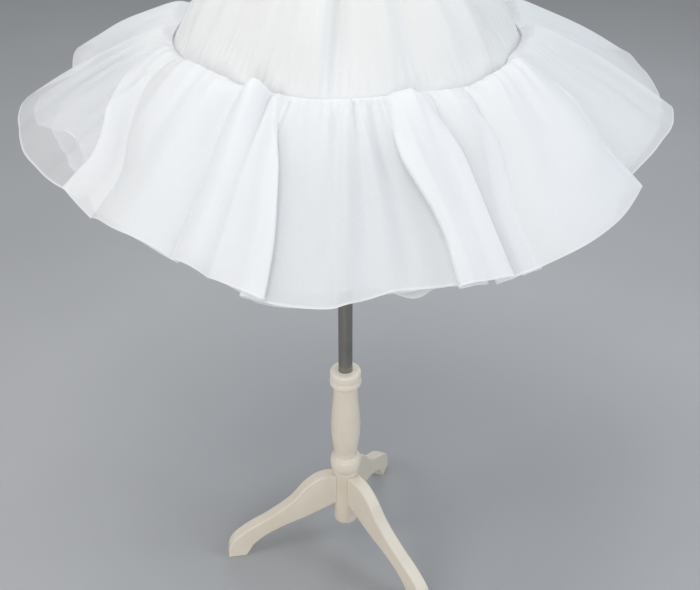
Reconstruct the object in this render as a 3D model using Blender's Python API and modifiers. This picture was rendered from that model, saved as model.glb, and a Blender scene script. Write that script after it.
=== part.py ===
"""A tulle skirt worn by a limbless dress form, on a turned wooden column with three legs.

Metres, +Z up, floor at z = 0, the stand's axis on x = y = 0. Bearings are degrees from the front (-Y),
positive towards +X.
"""
import math

import bmesh
import bpy
from mathutils import Matrix, Vector

GAP = 0.0003  # running clearance between neighbouring pieces

# ---- driving dimensions: stand ----
LEG_BEARINGS = {"leg_right": 40.0, "leg_back": 160.0, "leg_left": -80.0}
LEG_THICKNESS = 0.024
LEG_EDGE = 0.0025  # eased edge along the board
COLUMN_SHAFT_RADIUS = 0.0235  # plain foot of the column, where the legs are coped on
COLUMN_TOP = 0.4155
POLE_RADIUS = 0.0125
POLE_WALL = 0.0012
POLE_FOOT = 0.335  # the pole's lower end, inside the column's bore
POLE_TOP = 0.775
MAST_RADIUS = POLE_RADIUS - POLE_WALL - GAP
MAST_FOOT = 0.500
MAST_TOP = 1.060
CLAMP_HEIGHT = 0.028
CLAMP_RADIUS = 0.020
CLAMP_LIP = 0.004  # the clamp's top closes over the pole's end
SCREW_BEARING = 60.0
SCREW_RADIUS = 0.003

# ---- driving dimensions: dress form ----
FORM_BOTTOM = 0.937
FORM_PLATE_THICKNESS = 0.012
SOCKET_LENGTH = 0.026
NECK_TOP = 1.675

# ---- driving dimensions: skirt ----
CLOTH = 0.0012  # wall of every layer of cloth
SEAM_GAP = 0.0006
WAIST_HEIGHT = 1.205  # middle of the waistband
BAND_DEPTH = 0.030
YOKE_TOP = 1.192
YOKE_TOP_EASE = 0.0018  # from the form to the yoke's top edge
SEAM_HEIGHT = 1.021  # where the ruffles are sewn to the yoke
SEAM_OVERLAP = 0.008
HEM_RADIUS = 0.478  # at a reach of 1
HEM_HEIGHT = 0.8825
HEM_RISE_AT_BACK = 0.020
SLANT_BOW = 0.012  # the ruffle's slant bows up by this much
PLEAT_LEVEL = 0.0036  # spacing of the three layers in an overlapping pleat


# ---- scene and materials ----
for old in list(bpy.data.objects):
    bpy.data.objects.remove(old, do_unlink=True)

parts = bpy.data.collections.new("tulle_skirt_on_dress_form")
cutters = bpy.data.collections.new("cutters")
bpy.context.scene.collection.children.link(parts)
bpy.context.scene.collection.children.link(cutters)


def material(name, colour, roughness, metallic=0.0):
    made = bpy.data.materials.new(name)
    made.use_nodes = True
    shader = made.node_tree.nodes["Principled BSDF"]
    shader.inputs["Base Color"].default_value = (*colour, 1.0)
    shader.inputs["Roughness"].default_value = roughness
    shader.inputs["Metallic"].default_value = metallic
    return made


def place(name, data, finish, collection=parts):
    made = bpy.data.objects.new(name, data)
    if finish:
        made.data.materials.append(finish)
    collection.objects.link(made)
    return made


def smooth_sides(mesh, degrees=35.0):
    mesh.shade_smooth()
    mesh.set_sharp_from_angle(angle=math.radians(degrees))


def turned(name, profile, steps, finish, closed=False, origin=(0.0, 0.0, 0.0)):
    """A profile of (height, radius) rows turned about the vertical axis through origin."""
    mesh = bpy.data.meshes.new(name)
    points = [(radius, 0.0, height - origin[2]) for height, radius in profile]
    edges = [(i, i + 1) for i in range(len(points) - 1)]
    if closed:
        edges.append((len(points) - 1, 0))
    mesh.from_pydata(points, edges, [])
    made = place(name, mesh, finish)
    made.location = origin
    screw = made.modifiers.new("turn", "SCREW")
    screw.axis = "Z"
    screw.angle = math.tau
    screw.steps = steps
    screw.render_steps = steps
    screw.use_merge_vertices = True
    screw.merge_threshold = 0.00001
    return made


def cut(target, cutter_name, cutter_mesh):
    """Takes the cutter's shape away from the target."""
    cutter = place(cutter_name, cutter_mesh, None, cutters)
    cutter.hide_render = True
    cutter.display_type = "WIRE"
    boolean = target.modifiers.new(cutter_name, "BOOLEAN")
    boolean.operation = "DIFFERENCE"
    boolean.object = cutter
    return cutter


def cylinder_mesh(name, radius, depth, segments):
    mesh = bpy.data.meshes.new(name)
    build = bmesh.new()
    bmesh.ops.create_cone(
        build, cap_ends=True, segments=segments, radius1=radius, radius2=radius, depth=depth
    )
    build.to_mesh(mesh)
    build.free()
    return mesh


def at_bearing(bearing, radius, height):
    angle = math.radians(bearing)
    return Vector((radius * math.sin(angle), -radius * math.cos(angle), height))


# ---- legs: S-curved boards coped to the column ----
# (distance from the axis, height, kind of corner) round the board, from the top of its root
LEG_OUTLINE = (
    (0.0160, 0.1775, "corner"),
    (0.0480, 0.1755, "curve"),
    (0.0760, 0.1580, "curve"),
    (0.1060, 0.1230, "curve"),
    (0.1500, 0.0900, "curve"),
    (0.2000, 0.0600, "curve"),
    (0.2260, 0.0330, "curve"),
    (0.2320, 0.0000, "corner"),
    (0.1970, 0.0000, "corner"),
    (0.1830, 0.0250, "corner"),
    (0.1660, 0.0410, "curve"),
    (0.1300, 0.0620, "curve"),
    (0.0780, 0.0830, "curve"),
    (0.0160, 0.1130, "corner"),
)


def leg(name, bearing, finish):
    outline = bpy.data.curves.new(name + "_outline", "CURVE")
    outline.dimensions = "2D"
    outline.fill_mode = "BOTH"
    outline.resolution_u = 4
    outline.extrude = LEG_THICKNESS / 2 - LEG_EDGE
    outline.bevel_depth = LEG_EDGE
    outline.bevel_resolution = 1
    outline.offset = -LEG_EDGE
    spline = outline.splines.new("BEZIER")
    spline.bezier_points.add(len(LEG_OUTLINE) - 1)
    spline.use_cyclic_u = True
    for point, (reach, height, kind) in zip(spline.bezier_points, LEG_OUTLINE):
        point.co = (reach, height, 0.0)
        handle = "VECTOR" if kind == "corner" else "AUTO"
        point.handle_left_type = handle
        point.handle_right_type = handle
    board = place(name + "_outline", outline, None)
    bpy.context.view_layer.update()
    mesh = bpy.data.meshes.new_from_object(
        board.evaluated_get(bpy.context.evaluated_depsgraph_get())
    )
    bpy.data.objects.remove(board, do_unlink=True)
    build = bmesh.new()
    build.from_mesh(mesh)
    bmesh.ops.remove_doubles(build, verts=build.verts, dist=0.00002)
    build.to_mesh(mesh)
    build.free()
    mesh.name = name
    made = place(name, mesh, finish)
    upright = Matrix.Rotation(math.radians(90.0), 4, "X")
    outward = Matrix.Rotation(math.radians(bearing - 90.0), 4, "Z")
    made.matrix_world = outward @ upright
    cope = cylinder_mesh(name + "_cope", COLUMN_SHAFT_RADIUS + GAP, 0.3, 64)
    cut(made, name + "_cope", cope).location = (0.0, 0.0, 0.1)
    return made


# ---- column: one turned piece, bored for the pole ----
# (height, radius) rows down the outside
COLUMN_PROFILE = (
    (0.4155, 0.0245),
    (0.4145, 0.0265),
    (0.4115, 0.0277),
    (0.4010, 0.0277),
    (0.3985, 0.0270),
    (0.3965, 0.0279),
    (0.3920, 0.0287),
    (0.3870, 0.0279),
    (0.3835, 0.0252),
    (0.3815, 0.0222),
    (0.3650, 0.0219),
    (0.3450, 0.0231),
    (0.3200, 0.0255),
    (0.2950, 0.0269),
    (0.2700, 0.0263),
    (0.2480, 0.0238),
    (0.2330, 0.0216),
    (0.2225, 0.0220),
    (0.2195, 0.0252),
    (0.2140, 0.0278),
    (0.2050, 0.0288),
    (0.1960, 0.0281),
    (0.1905, 0.0262),
    (0.1890, 0.0258),
    (0.1825, 0.0258),
    (0.1805, COLUMN_SHAFT_RADIUS),
    (0.0680, COLUMN_SHAFT_RADIUS),
    (0.0625, 0.0220),
    (0.0600, 0.0185),
)


def column(finish):
    bore = POLE_RADIUS + GAP
    inside = ((POLE_FOOT - GAP, 0.0), (POLE_FOOT - GAP, bore), (COLUMN_TOP, bore))
    profile = inside + COLUMN_PROFILE + ((COLUMN_PROFILE[-1][0], 0.0),)
    return turned("column", profile, 24, finish)


# ---- pole, mast and clamp: the upper tube slides in the lower one ----
def on_screw_axis(radius):
    """Frame whose +Z runs outward along the thumb screw, at a distance from the stand's axis."""
    height = POLE_TOP + CLAMP_LIP - CLAMP_HEIGHT / 2
    level = Matrix.Rotation(math.radians(90.0), 4, "Y")
    outward = Matrix.Rotation(math.radians(SCREW_BEARING - 90.0), 4, "Z")
    return Matrix.Translation(at_bearing(SCREW_BEARING, radius, height)) @ outward @ level


def bore_for_screw(target, name):
    """Hole through one side only, from inside the mast's wall to past the clamp."""
    inner, outer = MAST_RADIUS - POLE_WALL, CLAMP_RADIUS + 0.010
    hole = cylinder_mesh(name, SCREW_RADIUS + GAP, outer - inner, 24)
    cut(target, name, hole).matrix_world = on_screw_axis((inner + outer) / 2)


def pole(finish):
    inner = POLE_RADIUS - POLE_WALL
    profile = (
        (POLE_FOOT, inner),
        (POLE_TOP, inner),
        (POLE_TOP, POLE_RADIUS),
        (POLE_FOOT, POLE_RADIUS),
    )
    made = turned("pole", profile, 32, finish, closed=True)
    bore_for_screw(made, "pole_screw_hole")
    return made


def mast(finish):
    inner = MAST_RADIUS - POLE_WALL
    profile = ((MAST_FOOT, inner), (MAST_TOP, inner), (MAST_TOP, MAST_RADIUS), (MAST_FOOT, MAST_RADIUS))
    return turned("mast", profile, 32, finish, closed=True)


def clamp(finish):
    top = POLE_TOP + CLAMP_LIP
    foot = top - CLAMP_HEIGHT
    ease = 0.0015
    profile = (
        (foot, POLE_RADIUS + GAP),
        (POLE_TOP + GAP, POLE_RADIUS + GAP),
        (POLE_TOP + GAP, MAST_RADIUS + GAP),
        (top, MAST_RADIUS + GAP),
        (top, CLAMP_RADIUS - ease),
        (top - ease, CLAMP_RADIUS),
        (foot + ease, CLAMP_RADIUS),
        (foot, CLAMP_RADIUS - ease),
    )
    made = turned("clamp", profile, 32, finish, closed=True)
    bore_for_screw(made, "clamp_screw_hole")
    return made


def thumb_screw(finish):
    """A screw with a flat oval thumb plate, its origin on its own axis."""
    length = 0.028
    plate = (0.011, 0.0045, 0.0120)  # half sizes along, across and up
    mesh = bpy.data.meshes.new("thumb_screw")
    build = bmesh.new()
    bmesh.ops.create_cone(
        build, cap_ends=True, segments=20, radius1=SCREW_RADIUS, radius2=SCREW_RADIUS, depth=length
    )
    build.to_mesh(mesh)
    build.free()
    made = place("thumb_screw", mesh, finish)
    knob_mesh = bpy.data.meshes.new("thumb_plate")
    build = bmesh.new()
    bmesh.ops.create_uvsphere(build, u_segments=18, v_segments=11, radius=1.0)
    for vertex in build.verts:
        vertex.co = (vertex.co.x * plate[2], vertex.co.y * plate[1], vertex.co.z * plate[0])
    build.to_mesh(knob_mesh)
    build.free()
    knob = place("thumb_plate", knob_mesh, None, cutters)
    knob.hide_render = True
    knob.display_type = "WIRE"
    knob.location = (0.0, 0.0, length / 2 + plate[0] * 0.75)
    knob.parent = made
    join = made.modifiers.new("plate", "BOOLEAN")
    join.operation = "UNION"
    join.object = knob
    made.matrix_world = on_screw_axis(MAST_RADIUS + GAP + length / 2)
    return made


# ---- lofts ----
def loft(name, rings, finish, cap):
    """Triangles between rings of equal length, top ring first; cap closes the two ends."""
    mesh = bpy.data.meshes.new(name)
    build = bmesh.new()
    rows = [[build.verts.new(point) for point in ring] for ring in rings]
    count = len(rows[0])
    for upper, lower in zip(rows, rows[1:]):
        for i in range(count):
            a, b = upper[i], upper[(i + 1) % count]
            c, d = lower[(i + 1) % count], lower[i]
            if (a.co - c.co).length < (b.co - d.co).length:
                build.faces.new((a, d, c))
                build.faces.new((a, c, b))
            else:
                build.faces.new((a, d, b))
                build.faces.new((b, d, c))
    if cap:
        build.faces.new(rows[0])
        build.faces.new(list(reversed(rows[-1])))
    build.to_mesh(mesh)
    build.free()
    mesh.shade_smooth()
    return place(name, mesh, finish)


def wall(made):
    """Gives an open surface of cloth its thickness, half to each side."""
    solid = made.modifiers.new("thickness", "SOLIDIFY")
    solid.thickness = CLOTH
    solid.offset = 0.0
    return made


def oval(half_width, half_depth, forward, height, bearing, squareness=2.25):
    """A point of a rounded oval section at a bearing of the section's own angle."""
    angle = math.radians(bearing)
    sine, cosine = math.sin(angle), math.cos(angle)
    across = math.copysign(abs(sine) ** (2.0 / squareness), sine)
    along = math.copysign(abs(cosine) ** (2.0 / squareness), cosine)
    return Vector((half_width * across, -half_depth * along - forward, height))


# ---- dress form: a smooth limbless body of a general size ----
# (height, half width, half depth, distance its middle lies forward)
FORM_SECTIONS = (
    (NECK_TOP, 0.052, 0.050, -0.006),
    (1.645, 0.053, 0.051, -0.008),
    (1.618, 0.062, 0.054, -0.010),
    (1.600, 0.088, 0.058, -0.011),
    (1.580, 0.128, 0.066, -0.010),
    (1.550, 0.158, 0.078, -0.006),
    (1.500, 0.168, 0.096, 0.000),
    (1.440, 0.161, 0.113, 0.006),
    (1.385, 0.155, 0.122, 0.010),
    (1.325, 0.143, 0.110, 0.006),
    (1.255, 0.126, 0.094, 0.001),
    (WAIST_HEIGHT, 0.119, 0.088, 0.000),
    (1.165, 0.124, 0.091, 0.000),
    (1.110, 0.142, 0.101, -0.001),
    (1.050, 0.159, 0.112, -0.003),
    (0.990, 0.165, 0.116, -0.004),
    (0.950, 0.162, 0.114, -0.004),
    (FORM_BOTTOM, 0.154, 0.107, -0.004),
)
FORM_SIDES = 32


def form_section(height):
    """Half width, half depth and forward shift of the form at a height."""
    for upper, lower in zip(FORM_SECTIONS, FORM_SECTIONS[1:]):
        if lower[0] <= height <= upper[0]:
            share = (upper[0] - height) / (upper[0] - lower[0])
            return tuple(a + (b - a) * share for a, b in zip(upper[1:], lower[1:]))
    return FORM_SECTIONS[-1][1:]


def form(finish):
    step = 360.0 / FORM_SIDES
    rings = [
        [oval(width, depth, forward, height, step * i) for i in range(FORM_SIDES)]
        for height, width, depth, forward in FORM_SECTIONS
    ]
    made = loft("form", rings, finish, cap=True)
    depth = MAST_TOP + GAP - FORM_BOTTOM
    socket = cylinder_mesh("mast_socket", MAST_RADIUS + GAP, depth + 0.02, 32)
    cut(made, "mast_socket", socket).location = (0.0, 0.0, FORM_BOTTOM + depth - (depth + 0.02) / 2)
    return made


def form_plate(finish):
    """Painted board that closes the form's foot, with the mast passing through it."""
    top = FORM_BOTTOM - GAP
    ease = 0.002
    rows = (
        (top, 0.154, 0.107),
        (top - FORM_PLATE_THICKNESS + ease, 0.154, 0.107),
        (top - FORM_PLATE_THICKNESS, 0.154 - ease, 0.107 - ease),
    )
    step = 360.0 / FORM_SIDES
    rings = [
        [oval(width, depth, -0.004, height, step * i) for i in range(FORM_SIDES)]
        for height, width, depth in rows
    ]
    made = loft("form_plate", rings, finish, cap=True)
    made.data.set_sharp_from_angle(angle=math.radians(35.0))
    hole = cylinder_mesh("plate_hole", MAST_RADIUS + GAP, 0.06, 32)
    cut(made, "plate_hole", hole).location = (0.0, 0.0, top)
    return made


def form_socket(finish):
    """Flanged metal bush under the plate, which turns on the mast."""
    top = FORM_BOTTOM - GAP - FORM_PLATE_THICKNESS - GAP
    inner = MAST_RADIUS + GAP
    profile = (
        (top - SOCKET_LENGTH, inner),
        (top, inner),
        (top, 0.032),
        (top - 0.003, 0.032),
        (top - 0.0045, 0.0190),
        (top - SOCKET_LENGTH + 0.001, 0.0165),
        (top - SOCKET_LENGTH, 0.0155),
    )
    return turned("form_socket", profile, 32, finish, closed=True)


def neck_cap(finish):
    foot = NECK_TOP + GAP
    profile = (
        (foot + 0.0500, 0.0000),
        (foot + 0.0495, 0.0060),
        (foot + 0.0470, 0.0105),
        (foot + 0.0415, 0.0140),
        (foot + 0.0350, 0.0145),
        (foot + 0.0280, 0.0120),
        (foot + 0.0225, 0.0075),
        (foot + 0.0190, 0.0070),
        (foot + 0.0165, 0.0110),
        (foot + 0.0135, 0.0300),
        (foot + 0.0115, 0.0450),
        (foot + 0.0085, 0.0505),
        (foot + 0.0030, 0.0510),
        (foot, 0.0485),
        (foot, 0.0000),
    )
    made = turned("neck_cap", profile, 24, finish, origin=(0.0, 0.006, 0.0))
    return made


# ---- skirt: waistband, yoke, outer ruffle and under ruffle ----
def eased(share):
    share = min(max(share, 0.0), 1.0)
    return share * share * (3.0 - 2.0 * share)


def periodic(rows, bearing):
    """Smooth value round the skirt through rows of (bearing, value), in rising order."""
    count = len(rows)
    bearing = (bearing - rows[0][0]) % 360.0 + rows[0][0]
    at = max(i for i in range(count) if rows[i][0] <= bearing + 1e-9)
    after = rows[(at + 1) % count][0] + (360.0 if at == count - 1 else 0.0)
    share = (bearing - rows[at][0]) / (after - rows[at][0])
    before, here = rows[at - 1][1], rows[at][1]
    there, beyond = rows[(at + 1) % count][1], rows[(at + 2) % count][1]
    slope_here, slope_there = (there - before) / 2, (beyond - here) / 2
    square, cube = share * share, share**3
    return (
        here * (2 * cube - 3 * square + 1)
        + slope_here * (cube - 2 * square + share)
        + there * (3 * square - 2 * cube)
        + slope_there * (cube - square)
    )


# (bearing, radius) of the seam between yoke and ruffles
SEAM_RADII = (
    (-165.0, 0.247),
    (-135.0, 0.252),
    (-105.0, 0.250),
    (-80.0, 0.243),
    (-55.0, 0.240),
    (-35.0, 0.241),
    (-15.0, 0.252),
    (0.0, 0.258),
    (17.0, 0.246),
    (34.0, 0.260),
    (50.0, 0.258),
    (68.0, 0.247),
    (90.0, 0.252),
    (115.0, 0.258),
    (140.0, 0.250),
    (165.0, 0.245),
)

# (bearing, half width, height) of the soft flutes of the yoke; a negative height is a hollow
YOKE_FLUTES = (
    (-158.0, 13.0, 0.009),
    (-138.0, 9.0, -0.007),
    (-120.0, 11.0, 0.010),
    (-97.0, 9.0, -0.008),
    (-72.0, 14.0, 0.010),
    (-48.0, 9.0, -0.006),
    (-30.0, 10.0, 0.005),
    (-11.0, 6.0, 0.009),
    (1.0, 5.5, -0.018),
    (16.0, 7.0, 0.004),
    (27.0, 5.0, -0.006),
    (45.0, 11.0, 0.013),
    (66.0, 8.0, -0.010),
    (88.0, 12.0, 0.009),
    (110.0, 8.0, -0.008),
    (131.0, 12.0, 0.010),
    (153.0, 9.0, -0.009),
    (176.0, 12.0, 0.008),
)


def turn_between(one, other):
    """Signed angle from other to one, between -180 and 180 degrees."""
    return (one - other + 180.0) % 360.0 - 180.0


def yoke_top_radius(bearing):
    """Radius of the yoke's top edge at a true bearing, just outside the form."""
    half_width, half_depth, _ = form_section(YOKE_TOP)
    angle = math.radians(bearing)
    power = 2.25
    sum_of_powers = abs(math.sin(angle) / half_width) ** power
    sum_of_powers += abs(math.cos(angle) / half_depth) ** power
    return sum_of_powers ** (-1.0 / power) + YOKE_TOP_EASE


def yoke_radius(bearing, fall):
    """Radius of the yoke's middle surface: fall runs from 0 at the waistband to 1 at the seam."""
    start = yoke_top_radius(bearing)
    end = periodic(SEAM_RADII, bearing)
    radius = start + (end - start) * (fall + 0.045 * math.sin(math.pi * fall))
    swell = math.sin(math.pi * min(fall, 1.0) * 0.88) ** 1.4
    for middle, half_width, height in YOKE_FLUTES:
        offset = turn_between(bearing, middle) / half_width
        if abs(offset) < 3.0:
            radius += height * swell * math.exp(-offset * offset)
    return radius


def yoke_point(bearing, fall):
    height = YOKE_TOP + (SEAM_HEIGHT - SEAM_OVERLAP / 2 - YOKE_TOP) * fall
    return at_bearing(bearing, yoke_radius(bearing, fall), height)


def yoke(finish):
    sides = 90
    falls = (0.0, 0.15, 0.38, 0.64, 0.86, 1.0)
    rings = [[yoke_point(360.0 * i / sides, fall) for i in range(sides)] for fall in falls]
    return wall(loft("yoke", rings, finish, cap=False))


def waistband(finish):
    """Elastic casing: a low round-edged band that hugs the form's waist above the yoke's gathers."""
    sides = FORM_SIDES * 2
    # (height above the band's foot, distance out from the form)
    rows = ((BAND_DEPTH, 0.0011), (BAND_DEPTH * 0.5, 0.0024), (0.0, 0.0011))
    foot = YOKE_TOP + GAP + CLOTH * 0.2
    rings = []
    for rise, out in rows:
        height = foot + rise
        half_width, half_depth, forward = form_section(height)
        ring = []
        for i in range(sides):
            point = oval(half_width + out, half_depth + out, forward, height, 360.0 * i / sides)
            ring.append(point)
        rings.append(ring)
    return wall(loft("waistband", rings, finish, cap=False))


# The outer ruffle, fold by fold round from bearing -98 at the seam and -110 at the hem:
# (name, where it ends at the seam, where it ends at the hem, how far its hem reaches in its middle,
#  the same at its end, how proud its middle stands, how high its top puffs over the seam,
#  degrees that it laps over the next fold, or under it where negative)
RUFFLE_FOLDS = (
    ("left_panel", -76.0, -50.0, 0.975, 0.885, 0.022, 0.006, -3.0),
    ("left_ridge", -64.0, -43.0, 0.900, 0.915, 0.010, 0.010, 0.0),
    ("left_puff", -29.0, -25.0, 0.945, 0.970, 0.022, 0.014, 0.0),
    ("left_crest", -20.0, -19.0, 0.980, 1.000, 0.010, 0.024, 0.0),
    ("left_lap", -15.5, -12.0, 1.030, 1.073, 0.004, 0.010, 3.0),
    ("front_hollow_left", -4.0, -1.0, 1.085, 1.088, -0.005, 0.004, 0.0),
    ("front_hollow_right", 11.0, 18.0, 1.005, 1.035, -0.008, 0.004, -4.0),
    ("front_strip", 23.5, 22.5, 1.040, 1.045, 0.005, 0.016, 2.0),
    ("front_strip_under", 34.0, 27.0, 1.045, 1.040, 0.003, 0.008, 2.5),
    ("right_puff", 62.0, 51.5, 1.010, 0.925, 0.028, 0.018, 5.0),
    ("right_panel", 97.0, 95.0, 0.910, 1.055, 0.026, 0.010, 3.0),
    ("right_back", 124.0, 127.0, 1.055, 1.000, 0.038, 0.008, 0.0),
    ("back_right_puff", 150.0, 147.0, 1.000, 0.980, 0.024, 0.014, -3.0),
    ("back_right_lap", 170.0, 174.0, 1.020, 1.040, 0.014, 0.020, 3.5),
    ("back_hollow", 189.0, 187.0, 1.020, 1.000, -0.005, 0.006, -3.0),
    ("back_left_puff", 214.0, 216.0, 0.980, 0.970, 0.028, 0.016, 4.0),
    ("back_left_lap", 238.0, 235.0, 1.000, 1.020, 0.016, 0.018, 0.0),
    ("left_back", 262.0, 250.0, 1.010, 0.990, 0.034, 0.008, 0.0),
)
RUFFLE_SEAM_START = -98.0
RUFFLE_HEM_START = -110.0
RUFFLE_RINGS = (0.0, 0.05, 0.12, 0.24, 0.42, 0.70, 1.0)
GATHERED_STEP = 0.4  # degrees between the stations of a pleat where it is gathered at the seam


def ruffle_height(reach, bearing):
    """Height of the ruffle's mean slant at a reach of 0 at the seam and 1 at the usual hem."""
    back = (1.0 - math.cos(math.radians(bearing))) / 2
    bow = SLANT_BOW * math.sin(math.pi * min(reach, 1.0))
    return SEAM_HEIGHT + (HEM_HEIGHT - SEAM_HEIGHT) * reach + bow + HEM_RISE_AT_BACK * back * reach


def ruffle_point(bearing, reach, level, puff):
    """A point of a ruffle: level is how far it stands off the mean slant, puff its extra height."""
    start = yoke_radius(bearing, 1.0) + CLOTH + SEAM_GAP
    radius = start + (HEM_RADIUS - start) * reach
    slope = math.atan2(SEAM_HEIGHT - HEM_HEIGHT, HEM_RADIUS - start)
    radius += level * math.sin(slope)
    height = ruffle_height(reach, bearing) + level * math.cos(slope) + puff
    return at_bearing(bearing, radius, height)


def puff_shape(share):
    """Rises fast from the seam to 1 and dies away down the slant."""
    peak = 0.10
    return (share / peak) * math.exp(1.0 - share / peak)


def ruffle_stations():
    """Every station round the ruffle: fold limits and where in the fold or pleat the station lies."""
    stations = []
    seam, hem, reach = RUFFLE_SEAM_START, RUFFLE_HEM_START, RUFFLE_FOLDS[-1][4]
    lap_before = RUFFLE_FOLDS[-1][7]
    for name, seam_end, hem_end, reach_middle, reach_end, crown, puff, lap in RUFFLE_FOLDS:
        count = max(3, round(max(seam_end - seam, hem_end - hem) / 4.6))
        for i in range(count + 1):
            if i == count and lap == 0.0:
                break  # the next fold starts here
            stations.append({
                "share": i / count, "seam": (seam, seam_end), "hem": (hem, hem_end),
                "reach": (reach, reach_middle, reach_end), "crown": crown, "puff": puff,
                "lap_before": lap_before, "lap": lap, "turn": None,
            })
        if lap:
            for turn in (1, 2, 3, 4):
                stations.append(dict(stations[-1], turn=turn))
        seam, hem, reach, lap_before = seam_end, hem_end, reach_end, lap
    return stations


def fold_reach(rows, share):
    """Hem reach across a fold, from its start, middle and end."""
    start, middle, end = rows
    from_start = start * (1 - share) * (1 - 2 * share)
    from_middle = middle * 4 * share * (1 - share)
    from_end = end * share * (2 * share - 1)
    return from_start + from_middle + from_end


def outer_ruffle_point(station, down):
    """Down runs from 0 at the seam to 1 at the hem."""
    shift = eased((down - 0.08) / 0.75)  # a fold's edge swings from its seam place to its hem place
    lapped = eased((down - 0.06) / 0.40)
    step_up = eased(down / 0.05)
    share = station["share"]
    ends = [a + (b - a) * shift for a, b in zip(station["seam"], station["hem"])]
    lap, lap_before = station["lap"], station["lap_before"]
    bunched = GATHERED_STEP * 2.5 * (1 - lapped)  # half a pleat's width where it is gathered
    low, high = ends
    if lap_before:
        low += bunched - abs(lap_before) / 2 * lapped
    if lap:
        high += abs(lap) / 2 * lapped - bunched
    side = math.copysign(1.0, lap) if lap else 0.0
    side_before = math.copysign(1.0, lap_before) if lap_before else 0.0
    arch = math.sin(math.pi * share) ** 0.75 if 0.0 < share < 1.0 else 0.0
    crown = station["crown"] * arch * (0.35 + 0.65 * down)
    puff = station["puff"] * puff_shape(down) * (0.25 + 0.75 * arch)
    reach = fold_reach(station["reach"], share) * down
    level = PLEAT_LEVEL * step_up * (
        side * eased((share - 0.55) / 0.45) - side_before * eased((0.45 - share) / 0.45)
    )
    bearing = low + (high - low) * share
    turn = station["turn"]
    if turn:
        edge, half = ends[1], abs(lap) / 2
        lip = math.degrees(PLEAT_LEVEL * 0.5 / HEM_RADIUS)
        # a pleat's stations: outer turn, start and end of the layer that runs back, inner turn
        folded = {1: half + lip, 2: half * 0.7, 3: -half * 0.7, 4: -half - lip}[turn]
        gathered = GATHERED_STEP * (turn - 2.5)
        rise = {1: 0.5, 2: 0.0, 3: 0.0, 4: -0.5}[turn]
        bearing = edge + folded * lapped + gathered * (1 - lapped)
        level = PLEAT_LEVEL * step_up * side * rise * (1.0 if lapped > 0.0 else 1.2)
        crown = 0.0
        reach = station["reach"][2] * down
        puff = station["puff"] * puff_shape(down) * 0.25
    return ruffle_point(bearing, reach, level + crown, puff)


def outer_ruffle(finish):
    stations = ruffle_stations()
    rings = [[outer_ruffle_point(station, down) for station in stations] for down in RUFFLE_RINGS]
    return wall(loft("outer_ruffle", rings, finish, cap=False))


# (bearing, reach) of the under ruffle's hem, which shows here and there below the outer one
UNDER_REACHES = (
    (-160.0, 0.970),
    (-130.0, 0.970),
    (-105.0, 0.945),
    (-92.0, 0.910),
    (-82.0, 0.860),
    (-72.0, 0.815),
    (-62.0, 0.800),
    (-50.0, 0.845),
    (-40.0, 0.875),
    (-28.0, 0.890),
    (-17.0, 0.925),
    (-8.0, 0.975),
    (2.0, 0.980),
    (10.5, 1.005),
    (18.0, 0.970),
    (30.0, 0.955),
    (39.0, 0.985),
    (51.0, 0.940),
    (60.0, 0.850),
    (70.0, 0.815),
    (84.0, 0.900),
    (98.0, 0.960),
    (120.0, 0.965),
    (150.0, 0.960),
    (175.0, 0.980),
)
UNDER_FLUTES = 17
UNDER_SEAM_DROP = 0.0012  # its top edge lies just under the yoke's lower edge
UNDER_DROP = 0.020  # how far it hangs below the outer ruffle's mean slant


def under_ruffle_point(bearing, down):
    reach = periodic(UNDER_REACHES, bearing) * down
    flute = 0.0035 * math.sin(math.radians(bearing * UNDER_FLUTES + 40.0))
    level = -UNDER_DROP * eased(down / 0.16) + flute * eased(down / 0.3)
    point = ruffle_point(bearing, reach, level, 0.0)
    at_seam = 1.0 - eased(down / 0.12)
    inward = at_bearing(bearing, -2 * (CLOTH + SEAM_GAP) * at_seam, 0.0)
    below = SEAM_OVERLAP / 2 + UNDER_SEAM_DROP * at_seam
    return point + inward - Vector((0.0, 0.0, below * (1 - down)))


def under_ruffle(finish):
    sides = UNDER_FLUTES * 5
    downs = (0.0, 0.07, 0.16, 0.45, 0.75, 1.0)
    rings = [[under_ruffle_point(360.0 * i / sides, down) for i in range(sides)] for down in downs]
    return wall(loft("under_ruffle", rings, finish, cap=False))


# ---- the whole object ----
cream_paint = material("cream_paint", (0.62, 0.54, 0.42), 0.45)
steel = material("steel", (0.33, 0.31, 0.29), 0.25, 1.0)
clamp_steel = material("clamp_steel", (0.45, 0.44, 0.42), 0.35, 1.0)
jersey = material("jersey", (0.78, 0.74, 0.66), 0.85)
tulle = material("tulle", (0.86, 0.87, 0.88), 0.8)
casing = material("casing", (0.84, 0.85, 0.86), 0.8)

for leg_name, leg_bearing in LEG_BEARINGS.items():
    leg(leg_name, leg_bearing, cream_paint)
smooth_parts = (
    column(cream_paint),
    pole(steel),
    mast(steel),
    clamp(clamp_steel),
    form_socket(clamp_steel),
    neck_cap(cream_paint),
)
for piece in smooth_parts:
    smooth_sides(piece.data)
thumb_screw(clamp_steel)
form(jersey)
form_plate(cream_paint)
waistband(casing)
yoke(tulle)
outer_ruffle(tulle)
under_ruffle(tulle)
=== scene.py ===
"""A gathered tulle skirt on a limbless dress form, whose turned wooden column stands on three legs.

Metres, +Z up. Bearings are degrees from the front (-Y), positive towards +X.
"""
import math

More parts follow.
